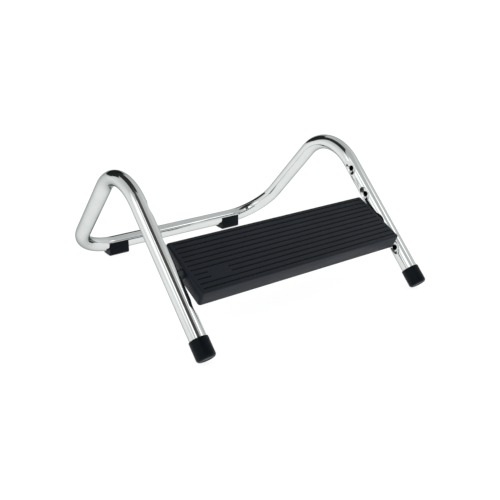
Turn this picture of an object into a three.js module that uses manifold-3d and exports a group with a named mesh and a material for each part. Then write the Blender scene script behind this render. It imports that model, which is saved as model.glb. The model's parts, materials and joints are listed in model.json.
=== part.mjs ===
// Adjustable office footrest: one bent chrome tube frame with four pairs of pressed seats,
// and a ribbed tilting footplate held between two spring-loaded pivot pins.
//
// Millimetres. X runs along the footplate, Y from the front feet to the rear bar, Z up.
// The origin is on the floor, in the middle of the outline seen from above.

import * as THREE from "three";
import { mergeVertices } from "three/addons/utils/BufferGeometryUtils.js";
import Module from "manifold-3d";

// ---------------------------------------------------------------- driving dimensions

const GAP = 0.3;                    // working gap left between neighbouring pieces

// bent tube frame
const TUBE_R = 12.5;                // outer radius of the tube
const TUBE_WALL = 1.5;
const LEG_X = 204;                  // centreline of each side from the middle
const FOOT_Z = 8.35;                // height of the middle of each rubber foot's end
const PEAK_Y = 229.5;               // corner over each top bend, back from the feet's ends
const PEAK_Z = 234.4;
const REAR_Y = 436.7;               // rear floor bar
const REAR_Z = 19.9;
const PEAK_BEND_R = 80;
const REAR_BEND_R = 77;
const BEND_STEPS = 6;
const FRONT_OVERHANG = 221.5;       // from the origin forward to the feet's ends

// pressed seats for the pivot pins, counted up each front leg
const SEAT_COUNT = 4;
const FIRST_SEAT = 71.3;            // along the leg from the foot's end
const SEAT_PITCH = 52.2;
const SEAT_IN_USE = 1;              // second seat up
const SEAT_TURN = 10;               // degrees that a seat faces above the inward direction
const SEAT_DEPTH = 5;
const SEAT_SPHERE_R = 17;
const SEAT_HOLE_R = 4.5;

// rubber feet on the front ends
const FERRULE_R = 14.3;
const FERRULE_LENGTH = 30;
const FERRULE_FLOOR = 5;
const FERRULE_EDGE_R = 4.5;
const FERRULE_LIP = 1;              // the open end narrows over this length
const FERRULE_LIP_DRAFT = 0.6;

// glides under the rear bar
const GLIDE_X = 123;
const GLIDE_WIDTH = 38;
const GLIDE_HALF_DEPTH = 14.4;
const GLIDE_TOP = 24;
const GLIDE_CHAMFER = 3;
const GLIDE_SCREW_R = 1.75;
const GLIDE_SCREW_HOLE_R = 2.1;
const GLIDE_SCREW_HEAD_R = 3.6;
const GLIDE_SCREW_HEAD_HEIGHT = 2;
const GLIDE_SCREW_RECESS = 2;       // the head's depth above the floor
const GLIDE_SCREW_TIP = 14;
const SCREW_POINT = 2;              // length of a screw's pointed end

// footplate, in its own frame: origin on the tilt axis, Y along the plate to the back, Z off its top
const TILT = 24.8;                  // degrees, back edge up
const PLATE_HALF_LENGTH = 187.4;
const PLATE_HALF_DEPTH = 51.5;
const PLATE_THICKNESS = 24.3;
const PLATE_TOP = 11.8;             // top face above the tilt axis
const PLATE_CORNER_R = 4;
const PLATE_EDGE_R = 2.5;
const PLATE_WALL = 3.2;

// grooves across the top of the tread
const GROOVE_COUNT = 11;
const GROOVE_PITCH = 8.85;
const FIRST_GROOVE_Y = 44.3;         // groove nearest the back edge
const GROOVE_WIDTH = 2.2;
const GROOVE_DEPTH = 1.3;
const GROOVE_END = 6.5;             // plain border at each end of the plate
const PAD_X = -141.6;               // plain pad that breaks two grooves
const PAD_Y = -22.1;
const PAD_HALF_LENGTH = 17.4;
const PAD_HALF_DEPTH = 6;

// moulded core and its closing cover
const CORE_SKIN = 2.5;
const RIB = 2;
const BAY_COUNT = 6;
const CORE_FLOOR = -9.8;
const COVER_TOP = -10.1;
const COVER_BOTTOM = -12.2;
const BARREL_HALF_DEPTH = 10;
const COVER_SCREW_Y = 41;
const COVER_SCREW_R = 1.6;
const COVER_SCREW_HEAD_R = 3;
const COVER_SCREW_HEAD_HEIGHT = 0.7;
const COVER_SCREW_LENGTH = 11;
const COVER_SCREW_SEAT = 1;         // depth of the hole that a head lies in
const POST_R = 4;

// spring-loaded pivot pins
const PIN_R = 6.5;
const PIN_HEAD_LENGTH = 19;
const SHANK_R = 3;
const SHANK_LENGTH = 31;
const BARREL_MOUTH_WALL = 5;        // wall that the shank slides through
const SPRING_ROOM = 21;
const SPRING_COIL_R = 5.1;
const SPRING_WIRE_R = 0.5;
const SPRING_TURNS = 6;
const CLIP_THICKNESS = 1.2;
const CLIP_R = 5;
const CLIP_GROOVE_DEPTH = 0.8;

// ---------------------------------------------------------------- solids

const wasm = await Module();
wasm.setup();

function toSolid(geometry) {
  const bare = geometry.clone();
  bare.deleteAttribute("normal");
  bare.deleteAttribute("uv");
  const merged = mergeVertices(bare, 1e-4);
  const mesh = new wasm.Mesh({
    numProp: 3,
    vertProperties: new Float32Array(merged.attributes.position.array),
    triVerts: new Uint32Array(merged.index.array),
  });
  return new wasm.Manifold(mesh);
}

function toGeometry(solid) {
  const mesh = solid.getMesh();
  const geometry = new THREE.BufferGeometry();
  geometry.setAttribute("position", new THREE.BufferAttribute(mesh.vertProperties, 3));
  geometry.setIndex(new THREE.BufferAttribute(mesh.triVerts, 1));
  geometry.computeVertexNormals();
  return geometry;
}

function box(x0, x1, y0, y1, z0, z1) {
  const geometry = new THREE.BoxGeometry(x1 - x0, y1 - y0, z1 - z0);
  geometry.translate((x0 + x1) / 2, (y0 + y1) / 2, (z0 + z1) / 2);
  return toSolid(geometry);
}

function rodAlongX(radius, x0, x1, sides = 24) {
  const geometry = new THREE.CylinderGeometry(radius, radius, x1 - x0, sides);
  geometry.rotateZ(-Math.PI / 2);
  geometry.translate((x0 + x1) / 2, 0, 0);
  return toSolid(geometry);
}

function rodAlongZ(radius, x, y, z0, z1, sides = 16) {
  const geometry = new THREE.CylinderGeometry(radius, radius, z1 - z0, sides);
  geometry.rotateX(Math.PI / 2);
  geometry.translate(x, y, (z0 + z1) / 2);
  return toSolid(geometry);
}

function roundedRectangle(halfX, halfY, radius) {
  const shape = new THREE.Shape();
  const x = halfX - radius;
  const y = halfY - radius;
  shape.absarc(x, y, radius, 0, Math.PI / 2);
  shape.absarc(-x, y, radius, Math.PI / 2, Math.PI);
  shape.absarc(-x, -y, radius, Math.PI, Math.PI * 1.5);
  shape.absarc(x, -y, radius, Math.PI * 1.5, Math.PI * 2);
  return shape;
}

function lathe(points, sides) {
  const profile = points.map(([radius, along]) => new THREE.Vector2(radius, along));
  return new THREE.LatheGeometry(profile, sides);
}

function unite(solids) {
  return solids.reduce((whole, solid) => whole.add(solid));
}

// ---------------------------------------------------------------- materials

function finish(name, color, roughness, metalness) {
  return { name, color, roughness, metalness };
}

const CHROME = finish("chrome", 0xc9cecd, 0.08, 1);
const TREAD_RUBBER = finish("tread_rubber", 0x23272e, 0.55, 0);
const FOOT_RUBBER = finish("foot_rubber", 0x17181a, 0.6, 0);
const BLACK_PLASTIC = finish("black_plastic", 0x1b1d20, 0.5, 0);
const PIN_PLASTIC = finish("pin_plastic", 0x3b3f45, 0.4, 0);
const STEEL = finish("steel", 0x9a9c9e, 0.35, 1);

function piece(name, geometry, look) {
  const mesh = new THREE.Mesh(geometry, new THREE.MeshStandardMaterial(look));
  mesh.name = name;
  return mesh;
}

// ---------------------------------------------------------------- bent tube

// A centreline of straights and round bends, with stations only where the direction changes.
class BentPath extends THREE.Curve {
  constructor(stations) {
    super();
    this.stations = stations;
  }

  get steps() {
    return this.stations.length - 1;
  }

  getPoint(t, target = new THREE.Vector3()) {
    const place = t * this.steps;
    const low = Math.min(Math.floor(place + 1e-6), this.steps - 1);
    return target.lerpVectors(this.stations[low].point, this.stations[low + 1].point, place - low);
  }

  getPointAt(t, target) {
    return this.getPoint(t, target);
  }

  getTangent(t, target = new THREE.Vector3()) {
    return target.copy(this.stations[Math.round(t * this.steps)].along);
  }

  getTangentAt(t, target) {
    return this.getTangent(t, target);
  }
}

function bendStations(before, corner, after, radius) {
  const into = corner.clone().sub(before).normalize();
  const out = after.clone().sub(corner).normalize();
  const turn = into.angleTo(out);
  const setback = radius * Math.tan(turn / 2);
  const start = corner.clone().addScaledVector(into, -setback);
  const side = out.clone().addScaledVector(into, -out.dot(into)).normalize();
  const centre = start.clone().addScaledVector(side, radius);
  const stations = [];
  for (let i = 0; i <= BEND_STEPS; i += 1) {
    const angle = (turn * i) / BEND_STEPS;
    const point = centre.clone()
      .addScaledVector(side, -radius * Math.cos(angle))
      .addScaledVector(into, radius * Math.sin(angle));
    const along = into.clone().multiplyScalar(Math.cos(angle)).addScaledVector(side, Math.sin(angle));
    stations.push({ point, along });
  }
  return stations;
}

function framePath(endOverrun) {
  const corners = [
    new THREE.Vector3(-LEG_X, 0, FOOT_Z),
    new THREE.Vector3(-LEG_X, PEAK_Y, PEAK_Z),
    new THREE.Vector3(-LEG_X, REAR_Y, REAR_Z),
    new THREE.Vector3(LEG_X, REAR_Y, REAR_Z),
    new THREE.Vector3(LEG_X, PEAK_Y, PEAK_Z),
    new THREE.Vector3(LEG_X, 0, FOOT_Z),
  ];
  const radii = [PEAK_BEND_R, REAR_BEND_R, REAR_BEND_R, PEAK_BEND_R];
  const up = corners[1].clone().sub(corners[0]).normalize();
  const down = corners[5].clone().sub(corners[4]).normalize();
  const endGap = FERRULE_FLOOR + GAP - endOverrun;
  const stations = [{ point: corners[0].clone().addScaledVector(up, endGap), along: up }];
  radii.forEach((radius, i) => {
    stations.push(...bendStations(corners[i], corners[i + 1], corners[i + 2], radius));
  });
  stations.push({ point: corners[5].clone().addScaledVector(down, -endGap), along: down });
  return new BentPath(stations);
}

function sweptRod(path, radius) {
  const section = new THREE.Shape();
  section.absarc(0, 0, radius, 0, Math.PI * 2);
  const options = { steps: path.steps, curveSegments: 10, extrudePath: path };
  return toSolid(new THREE.ExtrudeGeometry(section, options));
}

// Leg frame of one side: a point up the leg, and the leg's inward and upper directions.
const LEG_ANGLE = Math.atan2(PEAK_Z - FOOT_Z, PEAK_Y);
const LEG_UP = new THREE.Vector3(0, Math.cos(LEG_ANGLE), Math.sin(LEG_ANGLE));
const LEG_UPPER_SIDE = new THREE.Vector3(0, -Math.sin(LEG_ANGLE), Math.cos(LEG_ANGLE));

function legPoint(side, along) {
  return new THREE.Vector3(side * LEG_X, 0, FOOT_Z).addScaledVector(LEG_UP, along);
}

function seatFacing(side) {
  const turn = THREE.MathUtils.degToRad(SEAT_TURN);
  return new THREE.Vector3(-side * Math.cos(turn), 0, 0).addScaledVector(LEG_UPPER_SIDE, Math.sin(turn));
}

function seatSphere(side, along, extra) {
  const facing = seatFacing(side);
  const geometry = new THREE.SphereGeometry(SEAT_SPHERE_R + extra, 14, 14);
  const upright = new THREE.Vector3(0, 1, 0);
  geometry.applyQuaternion(new THREE.Quaternion().setFromUnitVectors(upright, facing));
  const reach = TUBE_R - SEAT_DEPTH + SEAT_SPHERE_R;
  const centre = legPoint(side, along).addScaledVector(facing, reach);
  geometry.translate(centre.x, centre.y, centre.z);
  return toSolid(geometry);
}

function seatHole(side, along) {
  const facing = seatFacing(side);
  const geometry = new THREE.CylinderGeometry(SEAT_HOLE_R, SEAT_HOLE_R, TUBE_R * 2, 16);
  const upright = new THREE.Vector3(0, 1, 0);
  geometry.applyQuaternion(new THREE.Quaternion().setFromUnitVectors(upright, facing));
  const centre = legPoint(side, along).addScaledVector(facing, TUBE_R + 2);
  geometry.translate(centre.x, centre.y, centre.z);
  return toSolid(geometry);
}

function tubeFrame() {
  let outside = sweptRod(framePath(0), TUBE_R);
  let inside = sweptRod(framePath(1), TUBE_R - TUBE_WALL);
  const holes = [];
  for (const side of [-1, 1]) {
    for (let i = 0; i < SEAT_COUNT; i += 1) {
      const along = FIRST_SEAT + i * SEAT_PITCH;
      outside = outside.subtract(seatSphere(side, along, 0));
      inside = inside.subtract(seatSphere(side, along, TUBE_WALL));
      holes.push(seatHole(side, along));
    }
    holes.push(rodAlongZ(GLIDE_SCREW_HOLE_R, side * GLIDE_X, REAR_Y, 0, REAR_Z));
  }
  return piece("tube_frame", toGeometry(outside.subtract(inside).subtract(unite(holes))), CHROME);
}

// ---------------------------------------------------------------- feet

function ferruleGeometry() {
  const bore = TUBE_R + GAP;
  const points = [[0, 0]];
  for (let i = 0; i <= 4; i += 1) {
    const angle = (Math.PI / 2) * (i / 4);
    const radius = FERRULE_R - FERRULE_EDGE_R + FERRULE_EDGE_R * Math.sin(angle);
    points.push([radius, FERRULE_EDGE_R * (1 - Math.cos(angle))]);
  }
  points.push([FERRULE_R, FERRULE_LENGTH - FERRULE_LIP]);
  points.push([FERRULE_R - FERRULE_LIP_DRAFT, FERRULE_LENGTH]);
  points.push([bore, FERRULE_LENGTH]);
  points.push([bore, FERRULE_FLOOR]);
  points.push([0, FERRULE_FLOOR]);
  return lathe(points, 24);
}

function footFerrule(side) {
  const mesh = piece(side < 0 ? "foot_ferrule_left" : "foot_ferrule_right", ferruleGeometry(), FOOT_RUBBER);
  mesh.quaternion.setFromUnitVectors(new THREE.Vector3(0, 1, 0), LEG_UP);
  mesh.position.copy(legPoint(side, 0));
  return mesh;
}

// A saddle block that the floor bar lies in, open at the top, its seat following the bar's bend.
function rearGlide(side) {
  const shape = new THREE.Shape();
  shape.moveTo(-GLIDE_HALF_DEPTH, GLIDE_TOP);
  shape.lineTo(-GLIDE_HALF_DEPTH, GLIDE_CHAMFER);
  shape.lineTo(-GLIDE_HALF_DEPTH + GLIDE_CHAMFER, 0);
  shape.lineTo(GLIDE_HALF_DEPTH - GLIDE_CHAMFER, 0);
  shape.lineTo(GLIDE_HALF_DEPTH, GLIDE_CHAMFER);
  shape.lineTo(GLIDE_HALF_DEPTH, GLIDE_TOP);
  const geometry = new THREE.ExtrudeGeometry(shape, { depth: GLIDE_WIDTH, bevelEnabled: false });
  geometry.translate(0, 0, -GLIDE_WIDTH / 2);
  geometry.rotateX(Math.PI / 2);
  geometry.rotateZ(Math.PI / 2);
  geometry.translate(side * GLIDE_X, REAR_Y, 0);
  const seat = sweptRod(framePath(0), TUBE_R + GAP);
  const shankHole = rodAlongZ(GLIDE_SCREW_HOLE_R, side * GLIDE_X, REAR_Y, -1, REAR_Z);
  const headRoom = GLIDE_SCREW_HEAD_R + GAP;
  const headTop = GLIDE_SCREW_RECESS + GLIDE_SCREW_HEAD_HEIGHT;
  const counterbore = rodAlongZ(headRoom, side * GLIDE_X, REAR_Y, -1, headTop + GAP);
  const solid = toSolid(geometry).subtract(seat).subtract(shankHole).subtract(counterbore);
  return piece(side < 0 ? "rear_glide_left" : "rear_glide_right", toGeometry(solid), FOOT_RUBBER);
}

function glideScrew(side) {
  const headTop = GLIDE_SCREW_RECESS + GLIDE_SCREW_HEAD_HEIGHT;
  const points = [
    [0, GLIDE_SCREW_RECESS],
    [GLIDE_SCREW_HEAD_R, GLIDE_SCREW_RECESS],
    [GLIDE_SCREW_HEAD_R, headTop],
    [GLIDE_SCREW_R, headTop],
    [GLIDE_SCREW_R, GLIDE_SCREW_TIP - SCREW_POINT],
    [0, GLIDE_SCREW_TIP],
  ];
  const geometry = lathe(points, 12);
  geometry.rotateX(Math.PI / 2);
  const mesh = piece(side < 0 ? "glide_screw_left" : "glide_screw_right", geometry, STEEL);
  mesh.position.set(side * GLIDE_X, REAR_Y, 0);
  return mesh;
}

// ---------------------------------------------------------------- footplate

// Where a pin's round nose sits in its seat: on the rim of the seat's hole.
const SEAT_FACE = TUBE_R - SEAT_DEPTH + SEAT_SPHERE_R;
const RIM_REACH = SEAT_FACE - Math.sqrt(SEAT_SPHERE_R ** 2 - SEAT_HOLE_R ** 2);
const NOSE_REACH = RIM_REACH + Math.sqrt(PIN_R ** 2 - SEAT_HOLE_R ** 2) + GAP;
const AXIS = legPoint(0, FIRST_SEAT + SEAT_IN_USE * SEAT_PITCH)
  .addScaledVector(LEG_UPPER_SIDE, NOSE_REACH * Math.sin(THREE.MathUtils.degToRad(SEAT_TURN)));
const NOSE_X = LEG_X - NOSE_REACH * Math.cos(THREE.MathUtils.degToRad(SEAT_TURN));

// Stations along a pin, measured along X from the middle of the plate.
const HEAD_BACK_X = NOSE_X - PIN_HEAD_LENGTH;
const SPRING_SEAT_X = HEAD_BACK_X - SPRING_ROOM;
const BARREL_BACK_X = SPRING_SEAT_X - BARREL_MOUTH_WALL;
const SHANK_END_X = HEAD_BACK_X - SHANK_LENGTH;
const CORE_HALF_LENGTH = PLATE_HALF_LENGTH - PLATE_WALL - GAP;
const CORE_HALF_DEPTH = PLATE_HALF_DEPTH - PLATE_WALL - GAP;
const CORE_TOP = PLATE_TOP - PLATE_WALL - GAP;
const BORE_R = PIN_R + GAP;

function treadCover() {
  const inset = PLATE_EDGE_R;
  const shape = roundedRectangle(
    PLATE_HALF_LENGTH - inset, PLATE_HALF_DEPTH - inset, PLATE_CORNER_R - inset);
  const outline = new THREE.ExtrudeGeometry(shape, {
    depth: PLATE_THICKNESS - 2 * inset,
    bevelThickness: inset,
    bevelSize: inset,
    bevelSegments: 3,
    curveSegments: 4,
  });
  outline.translate(0, 0, PLATE_TOP - PLATE_THICKNESS + inset);
  const hollow = box(
    -CORE_HALF_LENGTH - GAP, CORE_HALF_LENGTH + GAP,
    -CORE_HALF_DEPTH - GAP, CORE_HALF_DEPTH + GAP,
    PLATE_TOP - PLATE_THICKNESS - 1, PLATE_TOP - PLATE_WALL);
  const cuts = [rodAlongX(BORE_R, -PLATE_HALF_LENGTH - 1, PLATE_HALF_LENGTH + 1)];
  const end = PLATE_HALF_LENGTH - GROOVE_END;
  for (let i = 0; i < GROOVE_COUNT; i += 1) {
    const y = FIRST_GROOVE_Y - i * GROOVE_PITCH;
    const floor = PLATE_TOP - GROOVE_DEPTH;
    const spans = Math.abs(y - PAD_Y) < PAD_HALF_DEPTH
      ? [[-end, PAD_X - PAD_HALF_LENGTH], [PAD_X + PAD_HALF_LENGTH, end]]
      : [[-end, end]];
    for (const [x0, x1] of spans) {
      cuts.push(box(x0, x1, y - GROOVE_WIDTH / 2, y + GROOVE_WIDTH / 2, floor, PLATE_TOP + 1));
    }
  }
  const solid = toSolid(outline).subtract(hollow).subtract(unite(cuts));
  return piece("tread_cover", toGeometry(solid), TREAD_RUBBER);
}

function coverScrewPlaces() {
  const places = [];
  for (const fore of [-1, 1]) {
    for (const across of [-3, -1, 1, 3]) {
      places.push({ x: across * BAY_LENGTH, y: fore * COVER_SCREW_Y });
    }
  }
  return places;
}

const BAY_END_X = BARREL_BACK_X + RIB / 2;
const BAY_LENGTH = (2 * BAY_END_X) / BAY_COUNT;

function supportCore() {
  const block = roundedRectangle(CORE_HALF_LENGTH, CORE_HALF_DEPTH, PLATE_CORNER_R - PLATE_WALL);
  const options = { depth: CORE_TOP - CORE_FLOOR, bevelEnabled: false, curveSegments: 3 };
  const body = new THREE.ExtrudeGeometry(block, options);
  body.translate(0, 0, CORE_FLOOR);
  const ceiling = CORE_TOP - CORE_SKIN;
  const rows = [
    [-CORE_HALF_DEPTH + CORE_SKIN, -BARREL_HALF_DEPTH],
    [-BARREL_HALF_DEPTH + RIB, BARREL_HALF_DEPTH - RIB],
    [BARREL_HALF_DEPTH, CORE_HALF_DEPTH - CORE_SKIN],
  ];
  const edges = [-CORE_HALF_LENGTH + CORE_SKIN - RIB / 2];
  for (let i = 0; i <= BAY_COUNT; i += 1) {
    edges.push(-BAY_END_X + i * BAY_LENGTH);
  }
  edges.push(CORE_HALF_LENGTH - CORE_SKIN + RIB / 2);
  const pockets = [];
  rows.forEach(([y0, y1], row) => {
    for (let i = 0; i + 1 < edges.length; i += 1) {
      const atBarrel = row === 1 && (i === 0 || i + 2 === edges.length);
      if (!atBarrel) {
        pockets.push(box(edges[i] + RIB / 2, edges[i + 1] - RIB / 2, y0, y1, CORE_FLOOR - 1, ceiling));
      }
    }
  });
  const posts = coverScrewPlaces().map(({ x, y }) => rodAlongZ(POST_R, x, y, CORE_FLOOR, CORE_TOP));
  const bores = [];
  for (const side of [-1, 1]) {
    const along = (a, b) => [Math.min(side * a, side * b), Math.max(side * a, side * b)];
    bores.push(rodAlongX(BORE_R, ...along(SPRING_SEAT_X, CORE_HALF_LENGTH + 1)));
    bores.push(rodAlongX(SHANK_R + GAP, ...along(BARREL_BACK_X - 3 * RIB, SPRING_SEAT_X + 1)));
  }
  for (const { x, y } of coverScrewPlaces()) {
    const deep = COVER_BOTTOM + COVER_SCREW_LENGTH + 1;
    bores.push(rodAlongZ(COVER_SCREW_R + GAP, x, y, CORE_FLOOR - 1, deep, 12));
  }
  const solid = toSolid(body).subtract(unite(pockets)).add(unite(posts)).subtract(unite(bores));
  return piece("support_core", toGeometry(solid), BLACK_PLASTIC);
}

function baseCover() {
  const shape = roundedRectangle(CORE_HALF_LENGTH, CORE_HALF_DEPTH, PLATE_CORNER_R - PLATE_WALL);
  const options = { depth: COVER_TOP - COVER_BOTTOM, bevelEnabled: false, curveSegments: 3 };
  const geometry = new THREE.ExtrudeGeometry(shape, options);
  geometry.translate(0, 0, COVER_BOTTOM);
  const holes = coverScrewPlaces().map(({ x, y }) => unite([
    rodAlongZ(COVER_SCREW_R + GAP, x, y, COVER_BOTTOM - 1, COVER_TOP + 1, 12),
    rodAlongZ(COVER_SCREW_HEAD_R + GAP, x, y, COVER_BOTTOM - 1, COVER_BOTTOM + COVER_SCREW_SEAT, 12),
  ]));
  return piece("base_cover", toGeometry(toSolid(geometry).subtract(unite(holes))), BLACK_PLASTIC);
}

function coverScrews() {
  const points = [
    [0, 0],
    [COVER_SCREW_HEAD_R, 0],
    [COVER_SCREW_HEAD_R, COVER_SCREW_HEAD_HEIGHT],
    [COVER_SCREW_R, COVER_SCREW_HEAD_HEIGHT],
    [COVER_SCREW_R, COVER_SCREW_LENGTH - SCREW_POINT],
    [0, COVER_SCREW_LENGTH],
  ];
  return coverScrewPlaces().map(({ x, y }, i) => {
    const geometry = lathe(points, 12);
    geometry.rotateX(Math.PI / 2);
    const mesh = piece(`cover_screw_${i + 1}`, geometry, STEEL);
    mesh.position.set(x, y, COVER_BOTTOM);
    return mesh;
  });
}

// ---------------------------------------------------------------- spring-loaded pins

const CLIP_X = BARREL_BACK_X - GAP - CLIP_THICKNESS;
const CLIP_GROOVE_R = SHANK_R - CLIP_GROOVE_DEPTH;

// Profile along the pin, from the tail to the round nose. The pin points along +X.
function pivotPin(side) {
  const points = [
    [0, SHANK_END_X],
    [SHANK_R, SHANK_END_X],
    [SHANK_R, CLIP_X - GAP],
    [CLIP_GROOVE_R, CLIP_X - GAP],
    [CLIP_GROOVE_R, CLIP_X + CLIP_THICKNESS + GAP],
    [SHANK_R, CLIP_X + CLIP_THICKNESS + GAP],
    [SHANK_R, HEAD_BACK_X],
    [PIN_R, HEAD_BACK_X],
  ];
  for (let i = 0; i <= 6; i += 1) {
    const angle = (Math.PI / 2) * (i / 6);
    points.push([i === 6 ? 0 : PIN_R * Math.cos(angle), NOSE_X + PIN_R * Math.sin(angle)]);
  }
  const geometry = lathe(points, 24);
  geometry.rotateZ(-Math.PI / 2);
  const mesh = piece(side < 0 ? "pivot_pin_left" : "pivot_pin_right", geometry, PIN_PLASTIC);
  mesh.rotation.z = side < 0 ? Math.PI : 0;
  return mesh;
}

function retainingClip(side) {
  const bore = CLIP_GROOVE_R + GAP;
  const points = [
    [bore, CLIP_X],
    [CLIP_R, CLIP_X],
    [CLIP_R, CLIP_X + CLIP_THICKNESS],
    [bore, CLIP_X + CLIP_THICKNESS],
    [bore, CLIP_X],
  ];
  const geometry = lathe(points, 16);
  geometry.rotateZ(-Math.PI / 2);
  const mesh = piece(side < 0 ? "retaining_clip_left" : "retaining_clip_right", geometry, STEEL);
  mesh.rotation.z = side < 0 ? Math.PI : 0;
  return mesh;
}

class Helix extends THREE.Curve {
  getPoint(t, target = new THREE.Vector3()) {
    const angle = t * SPRING_TURNS * Math.PI * 2;
    const reach = SPRING_ROOM - 2 * (GAP + SPRING_WIRE_R);
    return target.set(
      SPRING_SEAT_X + GAP + SPRING_WIRE_R + t * reach,
      SPRING_COIL_R * Math.cos(angle),
      SPRING_COIL_R * Math.sin(angle));
  }
}

function pinSpring(side) {
  const wire = new THREE.Shape();
  wire.absarc(0, 0, SPRING_WIRE_R, 0, Math.PI * 2);
  const options = { steps: SPRING_TURNS * 10, curveSegments: 3, extrudePath: new Helix() };
  const geometry = new THREE.ExtrudeGeometry(wire, options);
  const mesh = piece(side < 0 ? "pin_spring_left" : "pin_spring_right", geometry, STEEL);
  mesh.rotation.z = side < 0 ? Math.PI : 0;
  return mesh;
}

// ---------------------------------------------------------------- assembly

const footrest = new THREE.Group();
footrest.add(tubeFrame());

const footplate = new THREE.Group();
footplate.add(treadCover(), supportCore(), baseCover(), ...coverScrews());
footplate.position.copy(AXIS);
footplate.rotation.x = THREE.MathUtils.degToRad(TILT);

for (const side of [-1, 1]) {
  footrest.add(footFerrule(side), rearGlide(side), glideScrew(side));
  footplate.add(pivotPin(side), retainingClip(side), pinSpring(side));
}

footrest.add(footplate);
footrest.position.y = -FRONT_OVERHANG;
footrest.updateMatrixWorld(true);

export default footrest;
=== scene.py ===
"""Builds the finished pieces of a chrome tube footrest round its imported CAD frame."""

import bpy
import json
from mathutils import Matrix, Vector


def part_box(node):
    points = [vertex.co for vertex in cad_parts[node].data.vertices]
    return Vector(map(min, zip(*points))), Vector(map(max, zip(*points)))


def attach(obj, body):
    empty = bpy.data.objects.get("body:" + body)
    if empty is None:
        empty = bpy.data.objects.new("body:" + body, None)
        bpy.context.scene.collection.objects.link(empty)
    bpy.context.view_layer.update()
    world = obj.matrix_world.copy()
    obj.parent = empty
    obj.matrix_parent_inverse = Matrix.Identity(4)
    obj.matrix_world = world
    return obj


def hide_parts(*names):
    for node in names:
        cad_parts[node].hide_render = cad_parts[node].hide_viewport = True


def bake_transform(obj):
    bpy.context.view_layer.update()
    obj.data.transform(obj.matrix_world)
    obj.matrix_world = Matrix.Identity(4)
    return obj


bl_info = {
    "name": "Tilting Footrest",
    "version": (1, 0, 0),
    "blender": (4, 5, 0),
    "location": "3D View > Sidebar > Footrest",
    "description": "Chrome tube footrest with a ribbed tilting footplate on sprung pins",
    "category": "Add Mesh",
}

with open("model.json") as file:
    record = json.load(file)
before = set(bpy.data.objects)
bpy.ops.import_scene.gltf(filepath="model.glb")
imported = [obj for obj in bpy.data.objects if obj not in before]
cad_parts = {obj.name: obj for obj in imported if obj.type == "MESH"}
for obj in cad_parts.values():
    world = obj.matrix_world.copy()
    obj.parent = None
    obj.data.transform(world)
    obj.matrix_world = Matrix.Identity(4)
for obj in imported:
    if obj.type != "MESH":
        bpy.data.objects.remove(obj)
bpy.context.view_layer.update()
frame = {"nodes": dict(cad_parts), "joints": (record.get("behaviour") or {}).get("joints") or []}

import json
import math

import bmesh
import bpy
from mathutils import Matrix, Vector

# Pieces are drawn in millimetres and turned to metres as they are made. The studio is in metres.
MM = 0.001
SIDES = ((-1, "left"), (1, "right"))


def tilt_axis():
    """The footplate's turning axis, in millimetres."""
    joint = next(j for j in frame["joints"] if j["name"] == "footplate_tilt")
    return Vector(joint["pos_m"]) / MM


def mm_box(node):
    """Lowest and highest corners of a CAD node, in millimetres."""
    low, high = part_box(node)
    return low / MM, high / MM


# ---------------------------------------------------------------- sizes and colours


class FootrestSizes(bpy.types.PropertyGroup):
    tube_radius: bpy.props.FloatProperty(
        name="Tube radius", description="Outer radius of the bent tube, in millimetres", default=12.5, min=5)
    tube_wall: bpy.props.FloatProperty(
        name="Tube wall", description="Wall of the bent tube, in millimetres", default=1.5, min=0.5)
    peak_bend: bpy.props.FloatProperty(
        name="Top bend", description="Radius of the two top bends, in millimetres", default=80, min=20)
    rear_bend: bpy.props.FloatProperty(
        name="Rear bend", description="Radius of the two rear bends, in millimetres", default=77, min=20)
    seat_depth: bpy.props.FloatProperty(
        name="Seat depth", description="How deep a seat is pressed in, in millimetres", default=5, min=1)
    seat_sphere: bpy.props.FloatProperty(
        name="Seat ball", description="Radius of the ball that presses a seat, in millimetres",
        default=17, min=8)
    seat_hole: bpy.props.FloatProperty(
        name="Seat hole", description="Radius of the hole in a seat, in millimetres", default=4.5, min=1)
    seat_rim: bpy.props.FloatProperty(
        name="Seat rim", description="Softness of a seat's rim, in millimetres", default=1.5, min=0.1)
    tilt: bpy.props.FloatProperty(
        name="Footplate tilt", description="Tilt of the footplate as modelled",
        default=math.radians(24.8), subtype="ANGLE", unit="ROTATION")
    groove_depth: bpy.props.FloatProperty(
        name="Groove depth", description="Depth of the tread's grooves, in millimetres", default=1.3, min=0.2)
    groove_width: bpy.props.FloatProperty(
        name="Groove width", description="Width of the tread's grooves, in millimetres", default=2.2, min=0.5)
    edge_round: bpy.props.FloatProperty(
        name="Tread edge", description="Radius of the tread's top edge, in millimetres", default=2.5, min=0.5)


class FootrestColours(bpy.types.PropertyGroup):
    chrome: bpy.props.FloatVectorProperty(
        name="Chrome", description="Colour of the plated tube",
        default=(0.71, 0.73, 0.72), subtype="COLOR", min=0, max=1)
    tread: bpy.props.FloatVectorProperty(
        name="Tread", description="Colour of the ribbed tread",
        default=(0.0066, 0.0100, 0.0162), subtype="COLOR", min=0, max=1)
    feet: bpy.props.FloatVectorProperty(
        name="Feet", description="Colour of the rubber feet and glides",
        default=(0.0028, 0.0040, 0.0055), subtype="COLOR", min=0, max=1)
    pins: bpy.props.FloatVectorProperty(
        name="Pins", description="Colour of the pivot pins",
        default=(0.03, 0.034, 0.04), subtype="COLOR", min=0, max=1)
    inner: bpy.props.FloatVectorProperty(
        name="Core", description="Colour of the moulded core and cover",
        default=(0.012, 0.013, 0.015), subtype="COLOR", min=0, max=1)
    steel: bpy.props.FloatVectorProperty(
        name="Steel", description="Colour of screws, springs and clips",
        default=(0.55, 0.56, 0.57), subtype="COLOR", min=0, max=1)
    floor: bpy.props.FloatVectorProperty(
        name="Floor", description="Colour of the studio floor",
        default=(0.24, 0.24, 0.24), subtype="COLOR", min=0, max=1)


# ---------------------------------------------------------------- finishes


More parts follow.
